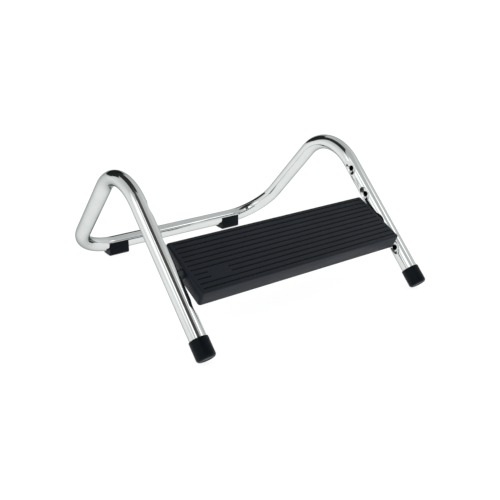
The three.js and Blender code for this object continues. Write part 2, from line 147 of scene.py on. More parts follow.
CHROME_EDGE = (0.34, 0.36, 0.37, 1)
RUBBER_EDGE = (0.80, 0.92, 1.0, 1)
# Painted shade in the tread's grooves: a mesh attribute marks each groove, and the tread's colour falls to
# the share below at a groove's floor.
GROOVE_SHADE_MASK = "groove"
GROOVE_PAINTED_SHADE = 0.22


class Finish:
    """A procedural surface under construction: one shader with its own grain, wear and bump."""

    def __init__(self, name):
        self.material = bpy.data.materials.new(name)
        self.material.use_nodes = True
        self.tree = self.material.node_tree
        self.shader = self.tree.nodes["Principled BSDF"]
        self.coords = self.tree.nodes.new("ShaderNodeTexCoord").outputs["Object"]

    def link(self, out, into):
        self.tree.links.new(out, into)

    def noise(self, scale, detail, roughness, stretch=None):
        """Cloudy grain from 0 to 1."""
        node = self.tree.nodes.new("ShaderNodeTexNoise")
        node.inputs["Scale"].default_value = scale
        node.inputs["Detail"].default_value = detail
        node.inputs["Roughness"].default_value = roughness
        self.link(self.stretched(stretch), node.inputs["Vector"])
        return node.outputs["Fac"]

    def cells(self, scale):
        """Pebbled grain with soft borders."""
        node = self.tree.nodes.new("ShaderNodeTexVoronoi")
        node.feature = "SMOOTH_F1"
        node.inputs["Scale"].default_value = scale
        node.inputs["Smoothness"].default_value = 0.6
        self.link(self.coords, node.inputs["Vector"])
        return node.outputs["Distance"]

    def stretched(self, stretch):
        """The piece's own coordinates, scaled along each axis."""
        if stretch is None:
            return self.coords
        node = self.tree.nodes.new("ShaderNodeMapping")
        node.inputs["Scale"].default_value = stretch
        self.link(self.coords, node.inputs["Vector"])
        return node.outputs["Vector"]

    def level(self, source, low, high, start=0.0, end=1.0):
        """Takes a stretch of a source to a new range, clamped."""
        node = self.tree.nodes.new("ShaderNodeMapRange")
        node.inputs["From Min"].default_value = start
        node.inputs["From Max"].default_value = end
        node.inputs["To Min"].default_value = low
        node.inputs["To Max"].default_value = high
        self.link(source, node.inputs["Value"])
        return node.outputs["Result"]

    def tint(self, source, low, high, start=0.3, end=0.7):
        """A colour between two, as the source goes from start to end."""
        node = self.tree.nodes.new("ShaderNodeValToRGB")
        node.color_ramp.elements[0].position = start
        node.color_ramp.elements[0].color = (*low, 1)
        node.color_ramp.elements[1].position = end
        node.color_ramp.elements[1].color = (*high, 1)
        self.link(source, node.inputs["Fac"])
        return node.outputs["Color"]

    def combine(self, a, b, how="ADD"):
        node = self.tree.nodes.new("ShaderNodeMath")
        node.operation = how
        self.link(a, node.inputs[0])
        self.link(b, node.inputs[1])
        return node.outputs["Value"]

    def darkened(self, colour, attribute, least):
        """A colour that falls to a share of itself where a mesh attribute rises to 1."""
        source = self.tree.nodes.new("ShaderNodeAttribute")
        source.attribute_name = attribute
        node = self.tree.nodes.new("ShaderNodeVectorMath")
        node.operation = "SCALE"
        self.link(colour, node.inputs[0])
        self.link(self.level(source.outputs["Fac"], 1.0, least), node.inputs["Scale"])
        return node.outputs["Vector"]

    def relief(self, *layers):
        """Stacks (height, strength, distance in metres) layers of bump."""
        normal = None
        for height, strength, distance in layers:
            node = self.tree.nodes.new("ShaderNodeBump")
            node.inputs["Strength"].default_value = strength
            node.inputs["Distance"].default_value = distance
            self.link(height, node.inputs["Height"])
            if normal is not None:
                self.link(normal, node.inputs["Normal"])
            normal = node.outputs["Normal"]
        self.link(normal, self.shader.inputs["Normal"])

    def set(self, **values):
        names = {"metallic": "Metallic", "edge": "Specular Tint", "ior": "IOR",
                 "specular": "Specular IOR Level"}
        for key, value in values.items():
            self.shader.inputs[names[key]].default_value = value


def shade(colour, factor):
    """A colour made lighter or darker."""
    return tuple(min(1.0, c * factor) for c in colour)


def chrome_finish(colour):
    """Bright plate with faint smudges, polishing haze and a slight ripple from the bending."""
    f = Finish("Chrome plate")
    f.set(metallic=1.0, edge=CHROME_EDGE)
    smudge = f.noise(scale=16, detail=5, roughness=0.6)
    haze = f.noise(scale=120, detail=6, roughness=0.65)
    ripple = f.noise(scale=22, detail=2, roughness=0.4)
    polish = f.noise(scale=1400, detail=3, roughness=0.5)
    f.link(f.tint(smudge, shade(colour, 0.95), shade(colour, 1.04)), f.shader.inputs["Base Color"])
    smudged = f.level(smudge, 0.0, 0.05, start=0.45, end=0.75)
    hazed = f.level(haze, 0.035, 0.085, start=0.3, end=0.7)
    f.link(f.combine(smudged, hazed), f.shader.inputs["Roughness"])
    f.relief((ripple, 0.12, 0.6 * MM), (polish, 0.03, 0.04 * MM))
    return f.material


def tread_finish(colour):
    """Moulded tread with a fine leather grain, light scuffs on the ribs and painted shade in the grooves."""
    f = Finish("Moulded tread")
    f.set(ior=1.46, specular=0.24)
    cloud = f.noise(scale=28, detail=5, roughness=0.6)
    scuff = f.noise(scale=60, detail=8, roughness=0.7, stretch=(0.35, 1.6, 1.6))
    pores = f.noise(scale=2600, detail=4, roughness=0.6)
    waves = f.noise(scale=40, detail=3, roughness=0.5)
    skin = f.tint(cloud, shade(colour, 0.82), shade(colour, 1.22))
    # Painted shade: the tread's colour darkens where the groove attribute rises, most at a groove's floor.
    f.link(f.darkened(skin, GROOVE_SHADE_MASK, GROOVE_PAINTED_SHADE), f.shader.inputs["Base Color"])
    scuffed = f.level(scuff, -0.05, 0.08, start=0.35, end=0.7)
    f.link(f.combine(scuffed, f.level(cloud, 0.40, 0.50)), f.shader.inputs["Roughness"])
    f.relief((f.cells(1500), 0.16, 0.12 * MM), (pores, 0.12, 0.06 * MM), (waves, 0.05, 0.6 * MM))
    return f.material


def rubber_finish(colour):
    """Matt rubber with a pitted skin and a little dust."""
    f = Finish("Foot rubber")
    f.set(ior=1.45, specular=0.11, edge=RUBBER_EDGE)
    dust = f.noise(scale=45, detail=7, roughness=0.65)
    wear = f.noise(scale=200, detail=5, roughness=0.6)
    pits = f.noise(scale=2200, detail=4, roughness=0.6)
    f.link(f.tint(dust, shade(colour, 0.8), shade(colour, 1.5)), f.shader.inputs["Base Color"])
    f.link(f.level(wear, 0.34, 0.5, start=0.3, end=0.7), f.shader.inputs["Roughness"])
    f.relief((f.cells(900), 0.22, 0.16 * MM), (pits, 0.18, 0.08 * MM))
    return f.material


def plastic_finish(name, colour, dullness):
    """Satin moulded plastic with fine grain and hairline scratches."""
    f = Finish(name)
    f.set(ior=1.48, specular=0.45)
    cloud = f.noise(scale=70, detail=5, roughness=0.6)
    scratch = f.noise(scale=300, detail=6, roughness=0.7, stretch=(0.2, 1, 1))
    grain = f.noise(scale=3000, detail=4, roughness=0.6)
    f.link(f.tint(cloud, shade(colour, 0.85), shade(colour, 1.2)), f.shader.inputs["Base Color"])
    f.link(f.level(scratch, dullness - 0.07, dullness + 0.12, start=0.3, end=0.7),
           f.shader.inputs["Roughness"])
    f.relief((grain, 0.14, 0.06 * MM), (scratch, 0.05, 0.05 * MM))
    return f.material


def steel_finish(colour):
    """Zinc-plated steel, drawn and slightly dulled."""
    f = Finish("Zinc plated steel")
    f.set(metallic=1.0)
    bloom = f.noise(scale=260, detail=6, roughness=0.65)
    dulled = f.noise(scale=900, detail=5, roughness=0.6)
    drawn = f.noise(scale=1800, detail=4, roughness=0.6, stretch=(1, 0.2, 1))
    f.link(f.tint(bloom, shade(colour, 0.7), shade(colour, 1.15)), f.shader.inputs["Base Color"])
    f.link(f.level(dulled, 0.22, 0.42, start=0.3, end=0.7), f.shader.inputs["Roughness"])
    f.relief((drawn, 0.12, 0.05 * MM))
    return f.material


def finish_named(slot):
    """The finish of a material slot, made once."""
    colours = bpy.context.scene.footrest_colours
    makers = {
        "chrome": lambda: chrome_finish(colours.chrome),
        "tread_rubber": lambda: tread_finish(colours.tread),
        "foot_rubber": lambda: rubber_finish(colours.feet),
        "black_plastic": lambda: plastic_finish("Core plastic", colours.inner, dullness=0.5),
        "pin_plastic": lambda: plastic_finish("Pin plastic", colours.pins, dullness=0.38),
        "steel": lambda: steel_finish(colours.steel),
    }
    key = f"footrest {slot}"
    found = next((m for m in bpy.data.materials if m.get("finish") == key), None)
    if found is None:
        found = makers[slot]()
        found["finish"] = key
    return found


# ---------------------------------------------------------------- mesh tools


def solid(name, points, faces, matrix=None):
    """An object from points in millimetres, its faces turned outward."""
    mesh = bpy.data.meshes.new(name)
    mesh.from_pydata([tuple(p) for p in points], [], faces)
    bm = bmesh.new()
    bm.from_mesh(mesh)
    bmesh.ops.remove_doubles(bm, verts=bm.verts, dist=1e-5)
    bmesh.ops.recalc_face_normals(bm, faces=bm.faces)
    bm.to_mesh(mesh)
    bm.free()
    if matrix is not None:
        mesh.transform(matrix)
    mesh.transform(Matrix.Diagonal((MM, MM, MM, 1)))
    mesh.update()
    obj = bpy.data.objects.new(name, mesh)
    bpy.context.scene.collection.objects.link(obj)
    return obj


def rounded(corners, steps=5):
    """A line through (x, y, fillet) corners, with each fillet as an arc of a few points."""
    line = []
    for i, (x, y, fillet) in enumerate(corners):
        here = Vector((x, y))
        if fillet <= 0 or i in (0, len(corners) - 1):
            line.append(here)
            continue
        back = (Vector(corners[i - 1][:2]) - here).normalized()
        on = (Vector(corners[i + 1][:2]) - here).normalized()
        half = math.acos(max(-1.0, min(1.0, back.dot(on)))) / 2
        reach = fillet / math.tan(half)
        centre = here + (back + on).normalized() * fillet / math.sin(half)
        start, end = here + back * reach - centre, here + on * reach - centre
        turn = start.angle_signed(end)
        for k in range(steps + 1):
            angle = -turn * k / steps
            spun = Vector((start.x * math.cos(angle) - start.y * math.sin(angle),
                           start.x * math.sin(angle) + start.y * math.cos(angle)))
            line.append(centre + spun)
    return line


def turned(name, profile, sides, matrix):
    """A lathe piece about Z from (radius, height) points; a radius of 0 closes it on the axis."""
    points, rings = [], []
    for radius, height in profile:
        if radius < 1e-6:
            rings.append([len(points)] * sides)
            points.append((0, 0, height))
            continue
        rings.append(list(range(len(points), len(points) + sides)))
        for k in range(sides):
            angle = 2 * math.pi * k / sides
            points.append((radius * math.cos(angle), radius * math.sin(angle), height))
    return solid(name, points, quads_between(rings), matrix)


def quads_between(rings):
    """Faces between neighbouring rings of the same length, without the corners that fall together."""
    faces = []
    for a, b in zip(rings, rings[1:]):
        n = len(a)
        for k in range(n):
            corner = [a[k], a[(k + 1) % n], b[(k + 1) % n], b[k]]
            face = [v for j, v in enumerate(corner) if v != corner[j - 1]]
            if len(face) > 2:
                faces.append(face)
    return faces


def swept(name, centres, radius, sides=16, matrix=None):
    """A round rod along a line of points, closed at its ends."""
    centres = [Vector(c) for c in centres]
    points, rings, normal = [], [], None
    for i, c in enumerate(centres):
        along = (centres[min(i + 1, len(centres) - 1)] - centres[max(i - 1, 0)]).normalized()
        if normal is None:
            normal = along.orthogonal().normalized()
        normal = (normal - along * normal.dot(along)).normalized()
        side = along.cross(normal)
        rings.append(list(range(len(points), len(points) + sides)))
        for k in range(sides):
            angle = 2 * math.pi * k / sides
            points.append(c + (normal * math.cos(angle) + side * math.sin(angle)) * radius)
    faces = quads_between(rings) + [rings[0], rings[-1]]
    return solid(name, points, faces, matrix)


def slab(name, outline, low, high, round_over, matrix=None):
    """A flat piece: an outline in X and Y between two heights, with rounded upper and lower edges."""
    steps = 4
    outline = [Vector(p) for p in outline]
    n = len(outline)
    outward = []
    for i in range(n):
        edge = (outline[(i + 1) % n] - outline[i - 1]).normalized()
        outward.append(Vector((edge.y, -edge.x)))
    area = sum(outline[i - 1].cross(outline[i]) for i in range(n))
    if area < 0:
        outward = [-v for v in outward]
    points, rings = [], []
    turn = [math.pi / 2 * k / steps for k in range(steps + 1)]
    levels = [(round_over * (1 - math.sin(a)), low + round_over * (1 - math.cos(a))) for a in turn]
    levels += [(round_over * (1 - math.cos(a)), high - round_over * (1 - math.sin(a))) for a in turn]
    for inset, height in levels:
        rings.append(list(range(len(points), len(points) + n)))
        points.extend((p.x - o.x * inset, p.y - o.y * inset, height) for p, o in zip(outline, outward))
    return solid(name, points, quads_between(rings) + [rings[0], rings[-1]], matrix)


def rounded_rectangle(half_x, half_y, radius, steps=8):
    """The outline of a rectangle with round corners, about its middle."""
    points = []
    for turn, (sx, sy) in enumerate(((1, 1), (-1, 1), (-1, -1), (1, -1))):
        for k in range(steps + 1):
            angle = math.pi / 2 * (turn + k / steps)
            points.append((sx * (half_x - radius) + radius * math.cos(angle),
                           sy * (half_y - radius) + radius * math.sin(angle)))
    return points


def cut(obj, *cutters):
    """Takes the cutters out of obj and removes them."""
    for cutter in cutters:
        modifier = obj.modifiers.new("cut", "BOOLEAN")
        modifier.object = cutter
        modifier.operation = "DIFFERENCE"
        modifier.solver = "MANIFOLD"
    graph = bpy.context.evaluated_depsgraph_get()
    made = bpy.data.meshes.new_from_object(obj.evaluated_get(graph))
    obj.modifiers.clear()
    old = obj.data
    obj.data = made
    bpy.data.meshes.remove(old)
    for cutter in cutters:
        mesh = cutter.data
        bpy.data.objects.remove(cutter)
        bpy.data.meshes.remove(mesh)
    if not obj.data.polygons:
        raise RuntimeError(f"nothing is left of {obj.name} after its cuts")
    return obj


def fit(obj, slot, body, node, crease=32):
    """Gives a finished piece its surface, its smooth shading and its place in the frame.

    With no body, the piece is attached to none.
    """
    obj.data.materials.clear()
    obj.data.materials.append(finish_named(slot))
    for polygon in obj.data.polygons:
        polygon.use_smooth = True
        polygon.material_index = 0
    obj.data.set_sharp_from_angle(angle=math.radians(crease))
    if body is not None:
        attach(obj, body)
    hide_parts(node)


def shifted(x, y, z):
    """A move, as a matrix."""
    return Matrix.Translation(Vector((x, y, z)))


def footplate_matrix():
    """From the footplate's own frame, on its tilt axis, to the row frame in millimetres."""
    tilt = bpy.context.scene.footrest_sizes.tilt
    return shifted(*tilt_axis()) @ Matrix.Rotation(tilt, 4, "X")


# ---------------------------------------------------------------- bent tube


# The tube's centre line has its corners at these places seen from the side, as (y, z).
FEET_Y = -221.5
FOOT_Z = 8.35
PEAK = (8.0, 234.4)
REAR = (215.2, 19.9)
END_GAP = 5.3
COLUMNS = 64
COLUMN_TURN = 2 * math.pi / COLUMNS
BEND_RINGS = 30
HOLE_RING_GAP = 9
PLAIN_RING_GAP = 14
EASE_HALF = 100

# Seats are counted along a front leg's line, up from its foot.
SEAT_COUNT = 4
FIRST_SEAT = 71.3
SEAT_PITCH = 52.2
SEATS = [FIRST_SEAT + SEAT_PITCH * i for i in range(SEAT_COUNT)]
SEAT_TURN = math.radians(10)
SEAT_LIP = 0.35
SEAT_LIP_RINGS = ((0.7, 0.09), (0.95, 0.26))
GLIDE_X = 123.0
SCREW_HOLE = 2.1
DOWN = Vector((0, 0, -1))


class Patch:
    """The fine grid round one kind of hole, on a stretch of the tube's rings and columns."""

    def __init__(self, half_span, rings, half_columns, steps, dished):
        self.half_span = half_span
        self.rings = rings
        self.half_columns = half_columns
        self.steps = steps
        self.dished = dished

    def border(self, middle, column):
        """The ring and column of each point of its border, in order."""
        rows, half = self.rings // 2, self.half_columns
        points = [(middle - rows + j, column - half) for j in range(2 * rows)]
        points += [(middle + rows, column - half + j) for j in range(2 * half)]
        points += [(middle + rows - j, column + half) for j in range(2 * rows)]
        points += [(middle - rows, column + half - j) for j in range(2 * half)]
        return points

    def cells(self, middle, column):
        """The ring and column of each cell of the tube's grid that the patch takes the place of."""
        rows, half = self.rings // 2, self.half_columns
        return {(i, k % COLUMNS) for i in range(middle - rows, middle + rows)
                for k in range(column - half, column + half)}


SEAT_PATCH = Patch(half_span=13.2, rings=20, half_columns=10, steps=15, dished=True)
SCREW_PATCH = Patch(half_span=3.0, rings=6, half_columns=3, steps=4, dished=False)


class Station:
    """One ring of the tube: its centre, its direction and the direction of its first column."""

    def __init__(self, centre, along):
        self.centre = centre
        self.along = along
        self.first = None

    def outward(self, column):
        """The way a column looks."""
        angle = column * COLUMN_TURN
        return self.first * math.cos(angle) + self.along.cross(self.first) * math.sin(angle)

    def column(self, facing):
        """The column that looks a given way, with its fraction."""
        side = self.along.cross(self.first)
        return math.atan2(facing.dot(side), facing.dot(self.first)) / COLUMN_TURN


def leg_frame():
    """Foot of a leg's line, its direction, and the direction square to it on its upper side."""
    foot = Vector((0, FEET_Y, FOOT_Z))
    peak = Vector((0, *PEAK))
    up = (peak - foot).normalized()
    return foot, up, Vector((0, -up.z, up.y))


def seat_facing(side):
    """The way the seats of one leg look: inward and a little upward."""
    upper = leg_frame()[2]
    return Vector((-side * math.cos(SEAT_TURN), 0, 0)) + upper * math.sin(SEAT_TURN)


def tube_corners():
    """The corners of the tube's centre line, from the left foot to the right one."""
    x = mm_box("tube_frame")[1].x - bpy.context.scene.footrest_sizes.tube_radius
    return [Vector((-x, FEET_Y, FOOT_Z)), Vector((-x, *PEAK)), Vector((-x, *REAR)),
            Vector((x, *REAR)), Vector((x, *PEAK)), Vector((x, FEET_Y, FOOT_Z))]


def tube_stations():
    """Every ring of the tube, and (middle ring, patch, facing) of each hole."""
    sizes = bpy.context.scene.footrest_sizes
    corners = tube_corners()
    bends = [sizes.peak_bend, sizes.rear_bend, sizes.rear_bend, sizes.peak_bend]
    stations, marks = [], []

    def straight(start, end, patch=None, facing=None, distances=()):
        """Rings along a straight, close together where its holes lie."""
        length = (end - start).length
        along = (end - start) / length
        stops, at = [], 0.0
        for distance in distances:
            gap = distance - patch.half_span - at
            rings = max(1, round(gap / HOLE_RING_GAP))
            stops += [at + gap * k / rings for k in range(rings)]
            marks.append((len(stations) + len(stops) + patch.rings // 2, patch, facing))
            span = 2 * patch.half_span
            stops += [distance - patch.half_span + span * k / patch.rings for k in range(patch.rings)]
            at = distance + patch.half_span
        rings = max(1, round((length - at) / PLAIN_RING_GAP))
        stops += [at + (length - at) * k / rings for k in range(rings)]
        stations.extend(Station(start + along * s, along.copy()) for s in stops)

    def bend(corner, into, out, radius):
        """Rings round a bend; gives back where it ends."""
        turn = into.angle(out)
        start = corner - into * radius * math.tan(turn / 2)
        side = (out - into * out.dot(into)).normalized()
        centre = start + side * radius
        for k in range(BEND_RINGS):
            a = turn * k / BEND_RINGS
            stations.append(Station(centre - side * radius * math.cos(a) + into * radius * math.sin(a),
                                    into * math.cos(a) + side * math.sin(a)))
        return centre - side * radius * math.cos(turn) + into * radius * math.sin(turn)

    runs = [(b - a).normalized() for a, b in zip(corners, corners[1:])]
    place = corners[0] + runs[0] * END_GAP
    for i, radius in enumerate(bends):
        setback = radius * math.tan(runs[i].angle(runs[i + 1]) / 2)
        end = corners[i + 1] - runs[i] * setback
        if i == 0:
            straight(place, end, SEAT_PATCH, seat_facing(-1), [s - END_GAP for s in SEATS])
        elif i == 2:
            straight(place, end, SCREW_PATCH, DOWN, [side * GLIDE_X - place.x for side, _ in SIDES])
        else:
            straight(place, end)
        place = bend(corners[i + 1], runs[i], runs[i + 1], radius)
    end = corners[-1] - runs[-1] * END_GAP
    total = (corners[-1] - place).length
    straight(place, end, SEAT_PATCH, seat_facing(1), [total - s for s in reversed(SEATS)])
    stations.append(Station(end, runs[-1]))
    return stations, marks


def carry_columns(stations):
    """Carries the first column along without twist, then eases it along the bar to meet the right seats."""
    stations[0].first = seat_facing(-1)
    for a, b in zip(stations, stations[1:]):
        turn = a.along.rotation_difference(b.along)
        first = turn @ a.first
        b.first = (first - b.along * first.dot(b.along)).normalized()
    column = stations[-1].column(seat_facing(1))
    ease = (column - round(column)) * COLUMN_TURN
    bar = [i for i, s in enumerate(stations) if abs(s.along.x) > 0.999 and abs(s.centre.x) < EASE_HALF]
    for i, s in enumerate(stations):
        share = min(1.0, max(0.0, (i - bar[0]) / (bar[-1] - bar[0])))
        s.first = Matrix.Rotation(ease * share, 3, s.along) @ s.first


def soft_min(a, b, softness):
    """The lesser of two heights, with a round passage from one to the other."""
    blend = max(softness - abs(a - b), 0.0) / softness
    return min(a, b) - blend * blend * softness / 4


def tube_skin(stations, marks, radius, ball, points):
    """One skin of the tube, outer or inner: its faces, its two end rings and the ring of each hole."""
    sizes = bpy.context.scene.footrest_sizes
    reach = sizes.tube_radius - sizes.seat_depth + sizes.seat_sphere
    base = len(points)

    def vertex(i, k):
        return base + i * COLUMNS + k % COLUMNS

    def height(patch, u, w):
        """Height of the skin over the centre line, u along the tube and w across it from a hole."""
        wall = math.sqrt(max(radius * radius - w * w, 0.0))
        if not patch.dished or u * u + w * w >= ball * ball:
            return wall
        return soft_min(wall, reach - math.sqrt(ball * ball - u * u - w * w), sizes.seat_rim)

    for s in stations:
        points.extend(s.centre + s.outward(k) * radius for k in range(COLUMNS))

    taken, faces, hole_rings = set(), [], []
    for middle, patch, facing in marks:
        s = stations[middle]
        column = round(s.column(facing))
        face = s.outward(column)
        across = s.along.cross(face)
        border = patch.border(middle, column)
        taken |= patch.cells(middle, column)
        rings = [[vertex(i, k) for i, k in border]]

        def ring(outline, sink=0.0):
            """A ring of points on the skin over a flat outline, or a little below it."""
            rings.append(list(range(len(points), len(points) + len(outline))))
            for q in outline:
                depth = height(patch, q.x, q.y) - sink
                points.append(s.centre + s.along * q.x + across * q.y + face * depth)

        flat = [points[v] - s.centre for v in rings[0]]
        flat = [Vector((p.dot(s.along), p.dot(across))) for p in flat]
        hole, lip = (sizes.seat_hole, SEAT_LIP) if patch.dished else (SCREW_HOLE, 0.0)
        half_u, half_w = abs(flat[0].x), abs(flat[0].y)
        edge = [Vector((p.x / half_u, p.y / half_w)).normalized() for p in flat]
        for step in range(1, patch.steps + 1):
            ring([p.lerp(e * (hole + lip), step / patch.steps) for p, e in zip(flat, edge)])
        if patch.dished:
            inward = 1 if radius == sizes.tube_radius else -1
            for share, sink in SEAT_LIP_RINGS:
                ring([e * (hole + lip * (1 - share)) for e in edge], inward * sink)
        faces += quads_between(rings)
        hole_rings.append(rings[-1])

    for i in range(len(stations) - 1):
        for k in range(COLUMNS):
            if (i, k) not in taken:
                faces.append([vertex(i, k), vertex(i, k + 1), vertex(i + 1, k + 1), vertex(i + 1, k)])
    ends = [[vertex(i, k) for k in range(COLUMNS)] for i in (0, len(stations) - 1)]
    return faces, ends, hole_rings


class FOOTREST_OT_tube(bpy.types.Operator):
    """Bend the chrome tube, press its seats and pierce their holes"""

    bl_idname = "footrest.tube"
    bl_label = "Bent Tube Frame"

    def execute(self, context):
        sizes = context.scene.footrest_sizes
        stations, marks = tube_stations()
        carry_columns(stations)
        points = []
        outer = tube_skin(stations, marks, sizes.tube_radius, sizes.seat_sphere, points)
        inner = tube_skin(stations, marks, sizes.tube_radius - sizes.tube_wall,
                          sizes.seat_sphere + sizes.tube_wall, points)
        faces = outer[0] + inner[0]
        for outside, inside in zip(outer[1] + outer[2], inner[1] + inner[2]):
            faces += quads_between([outside, inside])
        used = sorted({v for face in faces for v in face})
        place = {v: i for i, v in enumerate(used)}
        faces = [[place[v] for v in face] for face in faces]
        tube = solid("bent_tube", [points[v] for v in used], faces)
        fit(tube, "chrome", "frame", "tube_frame", crease=40)
        return {"FINISHED"}


# ---------------------------------------------------------------- feet


FOOT_RADIUS = 14.25
FOOT_TOP = 29.9
FOOT_BORE = 12.8
FOOT_FLOOR = 5.05
SOLE_RADIUS = 8.3
SOLE_Z = 0.08
SOLE_DISH_RADIUS = 7.5
SOLE_DISH_Z = 0.7

GLIDE_TOE = 3
GLIDE_SOLE_Z = 0.02
GLIDE_CLEARANCE = 0.3
GLIDE_REACH = 60
GLIDE_EDGE = 0.9
GLIDE_BORE = 4.2
GLIDE_BORE_DEPTH = 4.3
GLIDE_SCREW = dict(head=3.6, head_height=2.0, shank=1.75, length=12, depth=1.5)
GLIDE_SCREW_Z = 2


class FOOTREST_OT_ferrules(bpy.types.Operator):
    """Mould the two rubber feet on the front ends of the tube"""

    bl_idname = "footrest.ferrules"
    bl_label = "Rubber Feet"

    def execute(self, context):
        foot, up, _ = leg_frame()
        profile = rounded([(0, SOLE_DISH_Z, 0), (SOLE_DISH_RADIUS, SOLE_DISH_Z, 0.6),
                           (SOLE_RADIUS, SOLE_Z, 0.5), (FOOT_RADIUS, SOLE_Z, 4.4),
                           (FOOT_RADIUS, FOOT_TOP, 1.1), (FOOT_BORE, FOOT_TOP, 0.35),
                           (FOOT_BORE, FOOT_FLOOR, 0.4), (0, FOOT_FLOOR, 0)], 7)
        lean = Vector((0, 0, 1)).rotation_difference(up).to_matrix().to_4x4()
        for side, word in SIDES:
            x = tube_corners()[-1].x * side
            cap = turned(f"rubber_foot_{word}", profile, 72, shifted(x, foot.y, foot.z) @ lean)
            fit(cap, "foot_rubber", "frame", f"foot_ferrule_{word}")
        return {"FINISHED"}


def crosshead_cutters(name, reach, width, depth, matrix):
    """Two crossed blades of a screw's recess, opening towards -Z."""
    outline = rounded_rectangle(reach, width / 2, width * 0.3, 3)
    return [slab(f"{name}_{quarter}", outline, -1, depth, 0.12,
                 matrix @ Matrix.Rotation(math.pi / 2 * quarter + math.pi / 4, 4, "Z"))
            for quarter in (0, 1)]


def driven_screw(name, matrix, head, head_height, shank, length, depth):
    """A cross-head screw pointing up Z, its head's outer face at 0, with a rolled thread."""
    core, neck, pitch = shank * 0.8, head_height + 0.6, shank * 0.62
    line = rounded([(0, 0, 0), (head, 0, 0.3), (head, head_height, 0.12), (core, head_height, 0.1),
                    (core, neck, 0)], 4)
    profile = [tuple(p) for p in line]
    z = neck
    while z + pitch < length - shank:
        profile += [(shank, z + pitch * 0.42), (shank, z + pitch * 0.55), (core, z + pitch)]
        z += pitch
    profile += [(shank * 0.45, length - shank * 0.35), (0, length)]
    screw = turned(name, profile, 36, matrix)
    return cut(screw, *crosshead_cutters(name + "_blade", shank * 0.95, shank * 0.42, depth, matrix))


class FOOTREST_OT_glides(bpy.types.Operator):
    """Mould the two rubber glides under the rear bar and drive their screws"""

    bl_idname = "footrest.glides"
    bl_label = "Rear Glides"

    def execute(self, context):
        bar_y = REAR[0]
        stations, _ = tube_stations()
        on_side = Matrix(((0, 0, 1, 0), (1, 0, 0, 0), (0, 1, 0, 0), (0, 0, 0, 1)))
        hole = rounded([(0, -1, 0), (GLIDE_BORE, -1, 0), (GLIDE_BORE, 0, 0), (GLIDE_BORE - 0.3, 0.4, 0.2),
                        (GLIDE_BORE - 0.3, GLIDE_BORE_DEPTH, 0.2), (SCREW_HOLE, GLIDE_BORE_DEPTH, 0),
                        (SCREW_HOLE, 21, 0), (0, 21, 0)])
        for side, word in SIDES:
            node = f"rear_glide_{word}"
            low, high = mm_box(node)
            middle, half = (low + high) / 2, (high - low) / 2
            corners = [(0, GLIDE_SOLE_Z, 0), (half.y - GLIDE_TOE, GLIDE_SOLE_Z, 1.2),
                       (half.y, GLIDE_TOE, 1.2), (half.y, high.z, 0.8), (0, high.z, 0)]
            line = rounded(corners, 4)[1:-1]
            outline = [(-p.x, p.y) for p in reversed(line)] + [tuple(p) for p in line]
            block = slab(f"glide_{word}", outline, -half.x, half.x, GLIDE_EDGE,
                         shifted(middle.x, bar_y, 0) @ on_side)
            near = [s.centre for s in stations
                    if s.centre.z < GLIDE_REACH and abs(s.centre.x - middle.x) < GLIDE_REACH]
            radius = context.scene.footrest_sizes.tube_radius + GLIDE_CLEARANCE
            seat = swept("seat", near, radius, 64)
            bore = turned("bore", hole, 40, shifted(side * GLIDE_X, bar_y, 0))
            cut(block, seat, bore)
            fit(block, "foot_rubber", "frame", node)
            screw = driven_screw(f"glide_fixing_{word}", shifted(side * GLIDE_X, bar_y, GLIDE_SCREW_Z),
                                 **GLIDE_SCREW)
            fit(screw, "steel", "frame", f"glide_screw_{word}")
        return {"FINISHED"}


# ---------------------------------------------------------------- footplate


# The footplate's sizes are in its own frame, with the tilt axis as X and the tread's top towards Z.
PLATE_HALF = (187.4, 51.5)
PLATE_TOP = 11.8
PLATE_BOTTOM = -12.5
PLATE_CORNER = 4.0
PLATE_WALL = 3.2
PLATE_FOOT_EDGE = 1.2

GROOVE_PITCH = 8.85
GROOVES = [44.3 - GROOVE_PITCH * i for i in range(11)]
GROOVE_END = 6.5
GROOVE_SOFTNESS = 0.17
GROOVE_GRID = (-0.55, -0.3, -0.17, -0.07, 0.0, 0.07, 0.17, 0.3, 0.55)
PAD_X, PAD_Y = -141.6, -22.1
PAD_HALF_LENGTH = 17.4
PAD_HALF_DEPTH = 6.0
CELL_LENGTH = 17
FINEST_CELL = 0.045

BORE = 6.8
BORE_START = 176
BORE_MOUTH = 187.5
BORE_CHAMFER = 0.7

CORE_HALF = (183.9, 48.0)
CORE_CORNER = 0.8
COVER_LOW, COVER_HIGH = -12.2, -10.1
COVER_EDGE = 0.45
COVER_SCREW_COUNT = 8
COVER_SCREW_Y = 41.0
COVER_SCREW = dict(head=3.0, head_height=0.7, shank=1.6, length=11, depth=1.1)
COVER_HOLE = 1.9
COVER_SINK = 3.3


def step_down(distance):
    """1 inside a groove's edge and 0 outside it, with a small radius at the lip and the root."""
    return 0.5 * (1 - math.tanh(distance / GROOVE_SOFTNESS))


def tread_height(x, y):
    """How deep the tread is cut at a point, as a share of the groove's depth."""
    sizes = bpy.context.scene.footrest_sizes
    end = PLATE_HALF[0] - GROOVE_END
    deepest = 0.0
    for middle in GROOVES:
        if abs(y - middle) > GROOVE_PITCH / 2:
            continue
        inside = step_down(abs(y - middle) - sizes.groove_width / 2)
        along = step_down(abs(x) - end)
        if abs(middle - PAD_Y) < PAD_HALF_DEPTH:
            along *= step_down(PAD_HALF_LENGTH - abs(x - PAD_X))
        deepest = max(deepest, inside * along)
    return deepest


def thinned(values, limit):
    """Sorted values up to a limit each way, with none too close to the one before it."""
    values = sorted(v for v in values if abs(v) <= limit + 1e-6)
    kept = [values[0]]
    for v in values[1:]:
        if v - kept[-1] > FINEST_CELL:
            kept.append(v)
    kept[-1] = limit
    return kept


